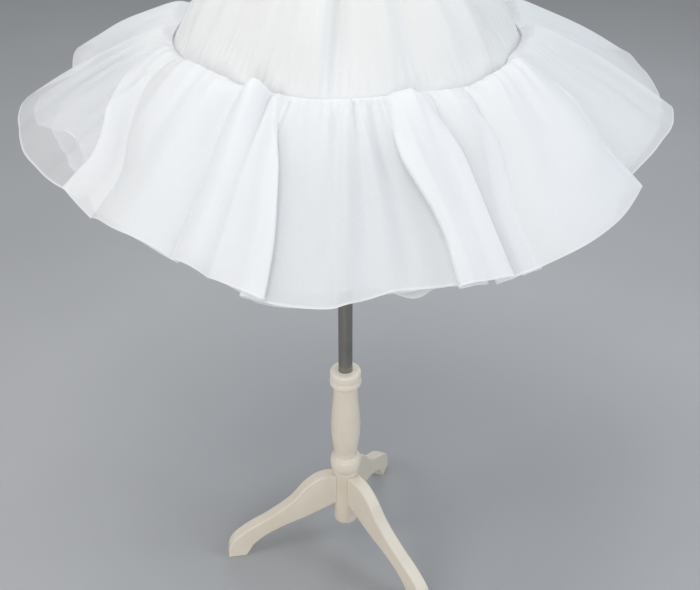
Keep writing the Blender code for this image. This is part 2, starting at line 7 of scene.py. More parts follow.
import bpy
import numpy as np
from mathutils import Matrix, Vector


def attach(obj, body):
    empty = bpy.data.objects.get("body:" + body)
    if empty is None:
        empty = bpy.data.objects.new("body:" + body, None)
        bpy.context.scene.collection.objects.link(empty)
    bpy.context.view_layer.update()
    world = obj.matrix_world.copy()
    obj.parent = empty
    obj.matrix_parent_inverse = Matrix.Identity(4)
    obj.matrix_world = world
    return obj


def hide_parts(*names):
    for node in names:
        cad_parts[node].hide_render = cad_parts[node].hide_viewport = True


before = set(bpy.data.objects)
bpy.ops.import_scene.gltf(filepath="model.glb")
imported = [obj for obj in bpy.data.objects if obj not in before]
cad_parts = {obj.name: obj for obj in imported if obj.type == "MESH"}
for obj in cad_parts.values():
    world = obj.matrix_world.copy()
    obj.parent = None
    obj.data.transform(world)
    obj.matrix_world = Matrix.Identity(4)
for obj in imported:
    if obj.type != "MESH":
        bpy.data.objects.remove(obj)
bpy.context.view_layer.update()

# ---- Studio ----
# A plain pale floor under broad soft lights: overhead, low in front, a warmer one on the left, a
# cooler one on the right and a faint one behind. The camera looks down on the skirt's front.
CAMERA_PLACE = (0.008, -1.45, 1.4915)
CAMERA_PITCH = 57.6  # degrees up from straight down
CAMERA_LENS = 52.4
FLOOR_REACH = 6.0


def linked(name, data):
    made = bpy.data.objects.new(name, data)
    bpy.context.scene.collection.objects.link(made)
    return made


def nodes_of(material):
    """The material's node tree and its Principled shader."""
    material.use_nodes = True
    return material.node_tree, material.node_tree.nodes["Principled BSDF"]


def add_node(tree, kind, values=None, **settings):
    node = tree.nodes.new(kind)
    for key, value in settings.items():
        setattr(node, key, value)
    for key, value in (values or {}).items():
        node.inputs[key].default_value = value
    return node


def mottled(tree, coordinates, scale, low, high, detail=3.0):
    """Soft cloudy blend between two colours; returns the colour socket and the noise."""
    noise = add_node(tree, "ShaderNodeTexNoise", {"Scale": scale, "Detail": detail})
    tree.links.new(coordinates, noise.inputs["Vector"])
    ramp = add_node(tree, "ShaderNodeValToRGB")
    ramp.color_ramp.elements[0].position = 0.3
    ramp.color_ramp.elements[1].position = 0.7
    ramp.color_ramp.elements[0].color = (*low, 1.0)
    ramp.color_ramp.elements[1].color = (*high, 1.0)
    tree.links.new(noise.outputs["Fac"], ramp.inputs["Fac"])
    return ramp.outputs["Color"], noise.outputs["Fac"]


def bumped(tree, shader, height, strength, distance):
    """Gives the shader a fine relief, distance metres deep."""
    bump = add_node(tree, "ShaderNodeBump", {"Strength": strength, "Distance": distance})
    tree.links.new(height, bump.inputs["Height"])
    tree.links.new(bump.outputs["Normal"], shader.inputs["Normal"])


camera = linked("camera", bpy.data.cameras.new("camera"))
camera.location = CAMERA_PLACE
camera.rotation_euler = (math.radians(CAMERA_PITCH), 0.0, 0.0)
camera.data.lens = CAMERA_LENS
camera.data.sensor_width = 36.0
bpy.context.scene.camera = camera
bpy.context.scene.view_settings.view_transform = "Standard"

world = bpy.data.worlds.new("studio")
world.use_nodes = True
world.node_tree.nodes["Background"].inputs["Color"].default_value = (0.93, 0.96, 1.0, 1.0)
world.node_tree.nodes["Background"].inputs["Strength"].default_value = 0.48
bpy.context.scene.world = world

# name, place, point it faces, side, watts, colour
LIGHTS = (
    ("overhead", (-0.3, -0.4, 3.3), (0.0, 0.0, 0.95), 1.6, 40.0, (1.0, 0.99, 0.98)),
    ("front", (-0.7, -3.2, 1.1), (0.0, 0.0, 0.6), 1.6, 34.0, (1.0, 0.985, 0.96)),
    ("left", (-2.6, -1.2, 2.2), (0.0, 0.0, 0.9), 1.2, 18.0, (1.0, 0.97, 0.92)),
    ("right", (2.5, -0.4, 2.2), (0.0, 0.0, 0.9), 1.4, 30.0, (0.84, 0.92, 1.0)),
    ("behind", (0.3, 2.8, 2.2), (0.0, 0.0, 0.9), 1.6, 14.0, (0.93, 0.97, 1.0)),
)
for name, place, aim, side, watts, colour in LIGHTS:
    lamp = linked(name, bpy.data.lights.new(name, "AREA"))
    lamp.data.size = side
    lamp.data.energy = watts
    lamp.data.color = colour
    lamp.location = place
    direction = np.array(aim) - np.array(place)
    lamp.rotation_euler = Vector(direction).to_track_quat("-Z", "Y").to_euler()

floor_mesh = bpy.data.meshes.new("floor")
corners = [(-1, -1), (1, -1), (1, 1), (-1, 1)]
floor_mesh.from_pydata(
    [(x * FLOOR_REACH, y * FLOOR_REACH, 0.0) for x, y in corners], [], [(0, 1, 2, 3)]
)
floor = linked("floor", floor_mesh)
floor_paint = bpy.data.materials.new("floor_paint")
tree, shader = nodes_of(floor_paint)
shader.inputs["Roughness"].default_value = 0.6
coordinates = add_node(tree, "ShaderNodeTexCoord").outputs["Object"]
colour, _ = mottled(tree, coordinates, 1.2, (0.36, 0.365, 0.375), (0.39, 0.395, 0.405))
tree.links.new(colour, shader.inputs["Base Color"])
floor_mesh.materials.append(floor_paint)


# ---- Legs and column ----
# Three S-curved boards coped to a turned column, all in warm cream paint, brushed on by hand:
# fine drag marks, softly clouded, and worn paler on the edges.
def painted(name, low, high, worn):
    """Brushed paint on wood, clouded between two colours and worn along the edges."""
    paint = bpy.data.materials.new(name)
    tree, shader = nodes_of(paint)
    coordinates = add_node(tree, "ShaderNodeTexCoord").outputs["Object"]
    colour, cloud = mottled(tree, coordinates, 9.0, low, high, 5.0)
    pointed = add_node(tree, "ShaderNodeNewGeometry").outputs["Pointiness"]
    edge = add_node(tree, "ShaderNodeMapRange", {"From Min": 0.52, "From Max": 0.60})
    tree.links.new(pointed, edge.inputs["Value"])
    blend = add_node(tree, "ShaderNodeMix", data_type="RGBA")
    first_colour, second_colour = blend.inputs[6], blend.inputs[7]
    second_colour.default_value = (*worn, 1.0)
    tree.links.new(edge.outputs["Result"], blend.inputs["Factor"])
    tree.links.new(colour, first_colour)
    tree.links.new(blend.outputs[2], shader.inputs["Base Color"])
    rough = add_node(tree, "ShaderNodeMapRange", {"To Min": 0.36, "To Max": 0.52})
    tree.links.new(cloud, rough.inputs["Value"])
    tree.links.new(rough.outputs["Result"], shader.inputs["Roughness"])
    stretched = add_node(tree, "ShaderNodeMapping", {"Scale": (240.0, 240.0, 24.0)})
    tree.links.new(coordinates, stretched.inputs["Vector"])
    drag = add_node(tree, "ShaderNodeTexNoise", {"Scale": 1.0, "Detail": 4.0})
    tree.links.new(stretched.outputs["Vector"], drag.inputs["Vector"])
    bumped(tree, shader, drag.outputs["Fac"], 0.25, 0.0006)
    return paint


def refinish(node_name, material):
    """Gives a CAD node another finish."""
    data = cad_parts[node_name].data
    data.materials.clear()
    data.materials.append(material)


cream = painted("cream_paint", (0.70, 0.62, 0.50), (0.78, 0.71, 0.60), (0.86, 0.80, 0.70))
for node_name in ("leg_left", "leg_right", "leg_back", "column", "form_plate", "neck_cap"):
    refinish(node_name, cream)


# ---- Pole, mast, clamp, screw and socket ----
# Drawn steel tube, one sliding in the other, polished along its length, with a cast clamp collar,
# its thumb screw, and the flanged bush that turns on the mast.
def drawn_metal(name, low, high, roughness, along):
    """Metal with fine lines: along is the lines' frequency across, round and up."""
    metal = bpy.data.materials.new(name)
    tree, shader = nodes_of(metal)
    shader.inputs["Metallic"].default_value = 1.0
    coordinates = add_node(tree, "ShaderNodeTexCoord").outputs["Object"]
    colour, _ = mottled(tree, coordinates, 14.0, low, high)
    tree.links.new(colour, shader.inputs["Base Color"])
    lines = add_node(tree, "ShaderNodeMapping", {"Scale": along})
    tree.links.new(coordinates, lines.inputs["Vector"])
    grain = add_node(tree, "ShaderNodeTexNoise", {"Scale": 1.0, "Detail": 3.0})
    tree.links.new(lines.outputs["Vector"], grain.inputs["Vector"])
    rough = add_node(
        tree, "ShaderNodeMapRange", {"To Min": roughness - 0.06, "To Max": roughness + 0.08}
    )
    tree.links.new(grain.outputs["Fac"], rough.inputs["Value"])
    tree.links.new(rough.outputs["Result"], shader.inputs["Roughness"])
    bumped(tree, shader, grain.outputs["Fac"], 0.12, 0.0002)
    return metal


polished = drawn_metal("steel", (0.26, 0.25, 0.235), (0.34, 0.325, 0.30), 0.24, (900, 900, 30))
cast = drawn_metal("clamp_steel", (0.42, 0.41, 0.39), (0.52, 0.51, 0.49), 0.34, (400, 400, 400))
for node_name in ("pole", "mast"):
    refinish(node_name, polished)
for node_name in ("clamp", "thumb_screw", "form_socket"):
    refinish(node_name, cast)


# ---- Dress form ----
# A smooth limbless body of foam, covered in a fine natural jersey knit drawn tight over it.
def knitted(name, low, high):
    """A fine knit: ribs of stitches up and down, with courses across them."""
    knit = bpy.data.materials.new(name)
    tree, shader = nodes_of(knit)
    shader.inputs["Roughness"].default_value = 0.85
    shader.inputs["Sheen Weight"].default_value = 0.25
    coordinates = add_node(tree, "ShaderNodeTexCoord").outputs["Object"]
    colour, _ = mottled(tree, coordinates, 22.0, low, high)
    tree.links.new(colour, shader.inputs["Base Color"])
    ribs = add_node(
        tree, "ShaderNodeTexWave", {"Scale": 130.0, "Distortion": 0.6, "Detail": 2.0},
        bands_direction="X",
    )
    courses = add_node(
        tree, "ShaderNodeTexWave", {"Scale": 150.0, "Distortion": 0.4, "Detail": 2.0},
        bands_direction="Z",
    )
    for wave in (ribs, courses):
        tree.links.new(coordinates, wave.inputs["Vector"])
    both = add_node(tree, "ShaderNodeMath", operation="ADD")
    tree.links.new(ribs.outputs["Fac"], both.inputs[0])
    tree.links.new(courses.outputs["Fac"], both.inputs[1])
    bumped(tree, shader, both.outputs["Value"], 0.35, 0.0004)
    return knit


# (height, half width, half depth, distance its middle lies forward), from the foot up
FORM_SECTIONS = (
    (0.937, 0.154, 0.107, -0.004), (0.950, 0.162, 0.114, -0.004), (0.990, 0.165, 0.116, -0.004),
    (1.050, 0.159, 0.112, -0.003), (1.110, 0.142, 0.101, -0.001), (1.165, 0.124, 0.091, 0.000),
    (1.205, 0.119, 0.088, 0.000), (1.255, 0.126, 0.094, 0.001), (1.325, 0.143, 0.110, 0.006),
    (1.385, 0.155, 0.122, 0.010), (1.440, 0.161, 0.113, 0.006), (1.500, 0.168, 0.096, 0.000),
    (1.550, 0.158, 0.078, -0.006), (1.580, 0.128, 0.066, -0.010), (1.600, 0.088, 0.058, -0.011),
    (1.618, 0.062, 0.054, -0.010), (1.645, 0.053, 0.051, -0.008), (1.675, 0.052, 0.050, -0.006),
)
SQUARENESS = 2.25
# (how deep the seam draws the cover in, section angles of its seams): side and middle seams, then
# the shaping seams between them
COVER_SEAMS = (
    (0.0007, (0.0, 90.0, 180.0, 270.0)),
    (0.0006, (38.0, 142.0, 218.0, 322.0)),
)
SEAM_HALF_WIDTH = 0.9  # degrees


def section_between(height):
    """The form's section at a height, on smooth curves through its rows."""
    knots = np.array([row[0] for row in FORM_SECTIONS])
    values = np.array([row[1:] for row in FORM_SECTIONS])
    slopes = np.gradient(values, knots, axis=0)
    at = int(np.clip(np.searchsorted(knots, height) - 1, 0, len(knots) - 2))
    span = knots[at + 1] - knots[at]
    share = (height - knots[at]) / span
    square, cube = share**2, share**3
    return (
        values[at] * (2 * cube - 3 * square + 1)
        + slopes[at] * span * (cube - 2 * square + share)
        + values[at + 1] * (3 * square - 2 * cube)
        + slopes[at + 1] * span * (cube - square)
    )


def oval(half_width, half_depth, forward, angle):
    """Across and back distances of a rounded oval section at an angle from the front."""
    sine, cosine = np.sin(angle), np.cos(angle)
    across = half_width * np.sign(sine) * np.abs(sine) ** (2 / SQUARENESS)
    along = half_depth * np.sign(cosine) * np.abs(cosine) ** (2 / SQUARENESS)
    return across, -along - forward


def form_cover_points(columns, rows):
    """Rings of the cover from the foot up, drawn in a little along its seams."""
    angle = np.arange(columns) / columns * math.tau
    degrees = np.degrees(angle)
    pulled = np.zeros(columns)
    for depth, seams in COVER_SEAMS:
        for seam in seams:
            offset = ((degrees - seam + 180.0) % 360.0 - 180.0) / SEAM_HALF_WIDTH
            pulled = pulled + depth * np.exp(-offset * offset)
    rings = []
    for height in np.linspace(FORM_SECTIONS[0][0], FORM_SECTIONS[-1][0], rows):
        half_width, half_depth, forward = section_between(height)
        x, y = oval(half_width - pulled, half_depth - pulled, forward, angle)
        rings.append(np.stack([x, y, np.full(columns, height)], -1))
    return np.array(rings)


cover_rings = form_cover_points(360, 150)
cover_mesh = bpy.data.meshes.new("form_cover")
rows, columns = cover_rings.shape[:2]
cover_faces = [
    (row * columns + i, row * columns + (i + 1) % columns,
     (row + 1) * columns + (i + 1) % columns, (row + 1) * columns + i)
    for row in range(rows - 1) for i in range(columns)
]
top_row = (rows - 1) * columns
cover_faces.append(tuple(range(top_row, top_row + columns)))
cover_mesh.from_pydata(cover_rings.reshape(-1, 3).tolist(), [], cover_faces)
cover_mesh.shade_smooth()
cover_mesh.set_sharp_from_angle(angle=math.radians(60.0))
cover = linked("form_cover", cover_mesh)
cover_mesh.materials.append(knitted("jersey", (0.70, 0.665, 0.60), (0.76, 0.725, 0.66)))
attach(cover, "form")
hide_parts("form")

# ---- Waistband ----
# A casing of the skirt's own cloth over flat elastic, which hugs the form's waist. The elastic
# draws the casing into fine upright gathers.
CLOTH = 0.0012
GAP = 0.0003
YOKE_TOP = 1.192
BAND_DEPTH = 0.030
BAND_OUT = 0.0011  # how far its edges lie off the form
BAND_COLUMNS = 1040
BAND_NET_ROUND = 1.05  # metres of net pattern round the casing


def form_section(height):
    """Half width, half depth and forward shift of the form at a height."""
    columns = list(zip(*FORM_SECTIONS))
    return [np.interp(height, columns[0], column) for column in columns[1:]]


def ripples(turns, low, high, seed):
    """Uneven ripples round the skirt: sines whose counts lie between low and high."""
    chance = np.random.default_rng(seed)
    total = np.zeros_like(turns)
    for _ in range(7):
        count = int(chance.integers(low, high))
        total = total + np.sin(math.tau * (count * turns + chance.uniform()))
    return total / 2.3


def cloth_mesh(name, points, around, down):
    """A ring of cloth through rows of points, top row first, with its flat size as UVs.

    points is (rows, columns, 3); around and down are the flat cloth's metres at each point.
    """
    rows, columns = points.shape[:2]
    mesh = bpy.data.meshes.new(name)
    faces = []
    for row in range(rows - 1):
        for column in range(columns):
            right = (column + 1) % columns
            faces.append((
                row * columns + column, (row + 1) * columns + column,
                (row + 1) * columns + right, row * columns + right,
            ))
    mesh.from_pydata(points.reshape(-1, 3).tolist(), [], faces)
    layer = mesh.uv_layers.new(name="cloth")
    flat_x, flat_y = around.reshape(-1), down.reshape(-1)
    step = flat_x.max() / (columns - 1)
    uv = np.zeros((len(mesh.loops), 2))
    index = np.zeros(len(mesh.loops), int)
    mesh.loops.foreach_get("vertex_index", index)
    uv[:, 0] = flat_x[index]
    uv[:, 1] = flat_y[index]
    closing_faces = np.arange(len(index)).reshape(-1, 4)[columns - 1::columns]
    for face in closing_faces:
        for loop in face:
            if index[loop] % columns == 0:
                uv[loop, 0] += flat_x.max() + step
    layer.data.foreach_set("uv", uv.reshape(-1))
    mesh.shade_smooth()
    return linked(name, mesh)


def with_body(made, body, shape):
    """Stores how full the cloth is at each point, for its finish."""
    attribute = made.data.attributes.new("body", "FLOAT", "POINT")
    values = np.broadcast_to(body, shape[:2]).astype(np.float32)
    attribute.data.foreach_set("value", values.reshape(-1))


def band_points(columns, rows):
    """The casing from its top edge down, swollen between its stitched edges."""
    turns = np.arange(columns) / columns
    angle = turns * math.tau
    foot = YOKE_TOP + GAP + CLOTH * 0.2
    rise = np.linspace(BAND_DEPTH, 0.0, rows)[:, None]
    half_width, half_depth, forward = form_section(foot + rise)
    swell = np.sin(math.pi * rise / BAND_DEPTH) ** 0.5
    gathers = 0.5 + 0.5 * ripples(turns, 105, 150, 3)
    out = BAND_OUT + swell * CLOTH * (1 + gathers)
    height = foot + rise + 0.0008 * swell * ripples(turns, 30, 60, 4)
    x, y = oval(half_width + out, half_depth + out, forward, angle)
    return np.stack(np.broadcast_arrays(x, y, height), -1), turns, rise


points, turns, rise = band_points(BAND_COLUMNS, 17)
band = cloth_mesh(
    "waistband_casing", points, np.broadcast_to(turns * BAND_NET_ROUND, points.shape[:2]),
    np.broadcast_to(BAND_DEPTH - rise, points.shape[:2]),
)


NET_CELLS = 850.0  # cells of net to a metre
GLOW = 0.44  # share of the light that comes through the threads


def tulle(name, thin, full, tint):
    """Fine white net, part seen through: thin where it hangs single, full where it is gathered."""
    material = bpy.data.materials.new(name)
    tree, shader = nodes_of(material)
    output = tree.nodes["Material Output"]
    shader.inputs["Roughness"].default_value = 0.62
    shader.inputs["Sheen Weight"].default_value = 0.30
    shader.inputs["Sheen Roughness"].default_value = 0.45
    shader.inputs["Specular IOR Level"].default_value = 0.25
    flat = add_node(tree, "ShaderNodeUVMap", uv_map="cloth").outputs["UV"]
    duller = tuple(part * 0.97 for part in tint)
    colour, _ = mottled(tree, flat, 7.0, duller, tint)
    tree.links.new(colour, shader.inputs["Base Color"])
    glow = add_node(tree, "ShaderNodeBsdfTranslucent")
    tree.links.new(colour, glow.inputs["Color"])
    cloth = add_node(tree, "ShaderNodeMixShader", {"Fac": GLOW})
    tree.links.new(shader.outputs["BSDF"], cloth.inputs[1])
    tree.links.new(glow.outputs["BSDF"], cloth.inputs[2])
    clear = add_node(tree, "ShaderNodeBsdfTransparent")
    cells = add_node(
        tree, "ShaderNodeTexVoronoi", {"Scale": NET_CELLS}, feature="DISTANCE_TO_EDGE",
        voronoi_dimensions="2D",
    )
    tree.links.new(flat, cells.inputs["Vector"])
    bumped(tree, shader, cells.outputs["Distance"], 0.25, 0.0002)
    holes = add_node(
        tree, "ShaderNodeMapRange", {"From Max": 0.45, "To Min": 0.07, "To Max": -0.07}
    )
    tree.links.new(cells.outputs["Distance"], holes.inputs["Value"])
    body = add_node(tree, "ShaderNodeAttribute", attribute_name="body").outputs["Fac"]
    cover_share = add_node(tree, "ShaderNodeMapRange", {"To Min": thin, "To Max": full})
    tree.links.new(body, cover_share.inputs["Value"])
    share = add_node(tree, "ShaderNodeMath", operation="ADD", use_clamp=True)
    tree.links.new(cover_share.outputs["Result"], share.inputs[0])
    tree.links.new(holes.outputs["Result"], share.inputs[1])
    seen = add_node(tree, "ShaderNodeMixShader")
    tree.links.new(share.outputs["Value"], seen.inputs["Fac"])
    tree.links.new(clear.outputs["BSDF"], seen.inputs[1])
    tree.links.new(cloth.outputs["Shader"], seen.inputs[2])
    tree.links.new(seen.outputs["Shader"], output.inputs["Surface"])
    return material


WHITE = (0.89, 0.90, 0.91)
with_body(band, 1.0, points.shape)
band.data.materials.append(tulle("casing", 0.80, 0.95, WHITE))
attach(band, "form")
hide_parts("waistband")

# ---- Yoke ----
# The skirt's upper tier: a sheer panel gathered into the waistband, which hangs in soft uneven
# flutes, with one deep sharp-lipped fold at the front, down to the seam that carries the ruffles.
YOKE_TOP_EASE = 0.0018
YOKE_BOW = 0.045  # how far its slope bows out, as a share of its spread
SEAM_HEIGHT = 1.021
SEAM_OVERLAP = 0.008
LIP_BEARING = -4.0  # where the front fold's sharp lip runs
LIP_DEPTH = 0.014
# (bearing, radius) of the seam between yoke and ruffles
SEAM_RADII = (
    (-165.0, 0.247), (-135.0, 0.252), (-105.0, 0.250), (-80.0, 0.243),
    (-55.0, 0.240), (-35.0, 0.241), (-15.0, 0.252), (0.0, 0.258),
    (17.0, 0.246), (34.0, 0.260), (50.0, 0.258), (68.0, 0.247),
    (90.0, 0.252), (115.0, 0.258), (140.0, 0.250), (165.0, 0.245),
)
# (bearing, half width, height) of the yoke's soft flutes; a negative height is a hollow
YOKE_FLUTES = (
    (-158.0, 13.0, 0.009), (-138.0, 9.0, -0.007), (-120.0, 11.0, 0.010),
    (-97.0, 9.0, -0.008), (-72.0, 14.0, 0.010), (-48.0, 9.0, -0.006),
    (-30.0, 10.0, 0.005), (-11.0, 6.0, 0.009), (1.0, 5.5, -0.018),
    (16.0, 7.0, 0.004), (27.0, 5.0, -0.006), (45.0, 11.0, 0.013),
    (66.0, 8.0, -0.010), (88.0, 12.0, 0.009), (110.0, 8.0, -0.008),
    (131.0, 12.0, 0.010), (153.0, 9.0, -0.009), (176.0, 12.0, 0.008),
)


def eased(share):
    """Runs smoothly from 0 to 1 as share does, and stays there."""
    share = np.clip(share, 0.0, 1.0)
    return share * share * (3.0 - 2.0 * share)


def periodic(rows, bearing):
    """Smooth value round the skirt through rows of (bearing, value), in rising order."""
    knots, values = (np.array(column) for column in zip(*rows))
    count = len(rows)
    wrapped = (bearing - knots[0]) % 360.0 + knots[0]
    at = np.searchsorted(knots, wrapped + 1e-9, side="right") - 1
    after = np.where(at == count - 1, knots[0] + 360.0, knots[(at + 1) % count])
    share = (wrapped - knots[at]) / (after - knots[at])
    before, here = values[at - 1], values[at]
    there, beyond = values[(at + 1) % count], values[(at + 2) % count]
    slope_here, slope_there = (there - before) / 2, (beyond - here) / 2
    square, cube = share**2, share**3
    return (
        here * (2 * cube - 3 * square + 1)
        + slope_here * (cube - 2 * square + share)
        + there * (3 * square - 2 * cube)
        + slope_there * (cube - square)
    )


def turn_between(one, other):
    """Degrees from the other bearing to this one, from -180 to 180."""
    return (one - other + 180.0) % 360.0 - 180.0


def yoke_radius(bearing, fall):
    """Radius of the yoke: fall runs from 0 at the waistband to 1 at the seam."""
    half_width, half_depth, _ = form_section(YOKE_TOP)
    angle = np.radians(bearing)
    powers = np.abs(np.sin(angle) / half_width) ** SQUARENESS
    powers = powers + np.abs(np.cos(angle) / half_depth) ** SQUARENESS
    start = powers ** (-1.0 / SQUARENESS) + YOKE_TOP_EASE
    end = periodic(SEAM_RADII, bearing)
    radius = start + (end - start) * (fall + YOKE_BOW * np.sin(math.pi * fall))
    swell = np.sin(math.pi * np.minimum(fall, 1.0) * 0.88) ** 1.4
    for middle, half_width, height in YOKE_FLUTES:
        offset = turn_between(bearing, middle) / half_width
        radius = radius + height * swell * np.exp(-offset * offset)
    return radius


def at_bearing(bearing, radius, height):
    """Points at a bearing, a distance from the axis and a height."""
    angle = np.radians(bearing)
    x, y = radius * np.sin(angle), -radius * np.cos(angle)
    return np.stack(np.broadcast_arrays(x, y, height), -1)


def yoke_points(columns, rows):
    """The yoke from the waistband down to the seam."""
    turns = np.arange(columns) / columns
    bearing = np.broadcast_to(turns * 360.0, (rows, columns))
    fall = np.linspace(0.0, 1.0, rows)[:, None]
    radius = yoke_radius(bearing, fall)
    # the fold's sharp lip: the cloth steps in over two degrees and comes back over ten
    into = turn_between(bearing, LIP_BEARING)
    lip = eased((into + 1.2) / 2.4) * (1.0 - eased((into - 3.0) / 9.0))
    depth = np.sin(math.pi * np.clip((fall - 0.02) / 0.98, 0, 1)) ** 0.8
    radius = radius - LIP_DEPTH * lip * depth
    # gathers at the stitching, and soft unevenness between
    near_top = np.exp(-fall / 0.28)
    near_seam = eased((fall - 0.62) / 0.38) * (1.0 - eased((fall - 0.93) / 0.07))
    radius = radius + 0.0013 * near_top * eased(fall / 0.06) * ripples(turns, 70, 105, 11)
    radius = radius + 0.0026 * np.sin(math.pi * fall) * ripples(turns, 18, 40, 12)
    radius = radius + 0.0010 * near_seam * ripples(turns, 90, 140, 13)
    height = YOKE_TOP + (SEAM_HEIGHT - SEAM_OVERLAP / 2 - YOKE_TOP) * fall
    return at_bearing(bearing, radius, height), turns, fall


YOKE_DROP = 0.215  # down the slope of the cloth
YOKE_CUT = 1.75  # round the seam, laid flat
YOKE_THINNEST = 0.65  # half way down, away from its gathers
points, turns, fall = yoke_points(720, 44)
yoke = cloth_mesh(
    "yoke_cloth", points, np.broadcast_to(turns * YOKE_CUT, points.shape[:2]),
    np.broadcast_to(fall * YOKE_DROP, points.shape[:2]),
)
gathered = np.abs(2 * fall - 1.0) ** 1.5
with_body(yoke, YOKE_THINNEST + (1 - YOKE_THINNEST) * gathered, points.shape)
yoke.data.materials.append(tulle("yoke_tulle", 0.74, 0.96, (0.93, 0.94, 0.945)))
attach(yoke, "form")
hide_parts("yoke")

# ---- Outer ruffle ----
# The lower tier, gathered to the yoke's seam and standing out stiffly: deep soft folds, some
# lapped over the next with crisp edges, puffed at the seam, and fine gathers at the stitching.
HEM_RADIUS = 0.478
HEM_HEIGHT = 0.8825
HEM_RISE_AT_BACK = 0.020
SLANT_BOW = 0.012
SEAM_GAP = 0.0006
# The folds in order round the skirt. The columns of a row are:
# name | bearing of its end at the seam, at the hem | how far its hem reaches in its middle, at its
# end (1 is HEM_RADIUS) | crown, how proud its middle stands | puff, how high its top stands over
# the seam | lap, degrees that it laps over the next fold, or under it where negative | lift of
# the lapped edge | fullness of the cloth at its start, at its end | how streaky it is | how much
# shorter the layer under the lap is
RUFFLE_FOLDS = (
    ("left_panel", -76.0, -50.0, 0.950, 0.885, 0.022, 0.006, -3.0, 0.009, 0.50, 0.06, 0.25, 0.0),
    ("left_ridge", -64.0, -43.0, 0.900, 0.925, 0.004, 0.010, 0.0, 0.006, 0.90, 0.90, 0.20, 0.0),
    ("left_puff", -29.0, -25.0, 0.945, 0.970, 0.022, 0.014, 0.0, 0.006, 0.90, 0.85, 0.15, 0.0),
    ("left_crest", -20.0, -19.0, 0.980, 1.000, 0.010, 0.024, 0.0, 0.005, 0.90, 1.00, 0.15, 0.0),
    ("left_lap", -15.5, -12.0, 1.03, 1.073, 0.004, 0.010, 3.0, 0.006, 1.00, 0.90, 0.20, 0.0),
    ("front_hollow_left", -4.0, -1.0, 1.085, 1.088, -0.005, 0.004, 0.0, 0.005, 0.30, 0.45, 0.8, 0.0),
    ("front_hollow_right", 11.0, 18.0, 1.005, 1.035, -0.008, 0.004, -4.0, 0.007, 0.45, 0.30, 1.0, 0.0),
    ("front_strip", 23.5, 22.5, 1.040, 1.045, 0.005, 0.016, 2.0, 0.006, 0.90, 0.90, 0.15, 0.0),
    ("front_strip_under", 34.0, 27.0, 1.045, 1.040, 0.003, 0.008, 2.5, 0.005, 0.45, 0.55, 0.25, 0.0),
    ("right_puff", 62.0, 51.5, 1.010, 0.925, 0.028, 0.018, 5.0, 0.014, 0.75, 1.00, 0.12, 0.07),
    ("right_panel", 97.0, 95.0, 0.910, 1.055, 0.026, 0.010, 3.0, 0.008, 0.45, 0.80, 0.15, 0.0),
    ("right_back", 124.0, 127.0, 1.055, 1.00, 0.038, 0.008, 0.0, 0.006, 0.60, 0.80, 0.25, 0.0),
    ("back_right_puff", 150.0, 147.0, 1.00, 0.98, 0.024, 0.014, -3.0, 0.008, 0.80, 0.55, 0.25, 0.0),
    ("back_right_lap", 170.0, 174.0, 1.02, 1.04, 0.014, 0.020, 3.5, 0.008, 0.90, 0.95, 0.25, 0.05),
    ("back_hollow", 189.0, 187.0, 1.02, 1.00, -0.005, 0.006, -3.0, 0.007, 0.40, 0.40, 1.00, 0.0),
    ("back_left_puff", 214.0, 216.0, 0.98, 0.97, 0.028, 0.016, 4.0, 0.012, 0.90, 0.95, 0.20, 0.06),
    ("back_left_lap", 238.0, 235.0, 1.00, 1.02, 0.016, 0.018, 0.0, 0.006, 0.45, 0.80, 0.25, 0.0),
    ("left_back", 262.0, 250.0, 1.01, 0.99, 0.034, 0.008, 0.0, 0.005, 0.75, 0.80, 0.20, 0.0),
)
RUFFLE_SEAM_START = -98.0
RUFFLE_HEM_START = -110.0
